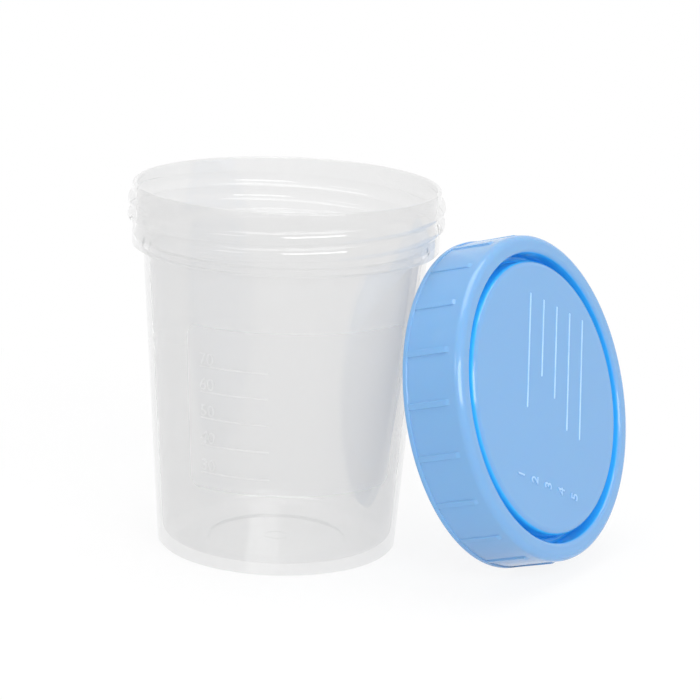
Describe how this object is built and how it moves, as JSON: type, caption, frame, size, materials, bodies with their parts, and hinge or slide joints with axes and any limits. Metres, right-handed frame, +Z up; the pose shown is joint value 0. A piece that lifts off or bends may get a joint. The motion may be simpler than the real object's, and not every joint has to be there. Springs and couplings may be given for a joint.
{
  "type": "specimen container",
  "caption": "Small tapered specimen container with a threaded neck, and its blue screw cap standing on edge against it.",
  "frame": {"origin": "centre of the cup's foot, on the surface that it stands on", "axes": "+Z up the cup's axis, out of its mouth; the cap leans against the cup on the +X side and its top faces +X and -Y; the writing panel faces -Y"},
  "size_m": [0.1005, 0.0691, 0.072],
  "materials": {
    "clear_polypropylene": "injection moulded clarified polypropylene, glossy and slightly hazy, with a finely textured writing panel on the front",
    "blue_polypropylene": "injection moulded translucent blue polypropylene, glossy rim and skirt, slightly satin disc"
  },
  "bodies": {
    "cup": {"cup": "clear_polypropylene"},
    "cap": {"cap": "blue_polypropylene"}
  },
  "joints": [
    {"name": "cap_turn", "type": "hinge", "parent": "cup", "child": "cap", "pos_m": [0.04145, -0.00531, 0.03065], "axis": [-0.8039, 0.521, -0.2869], "range_deg": [0, 337]}
  ]
}
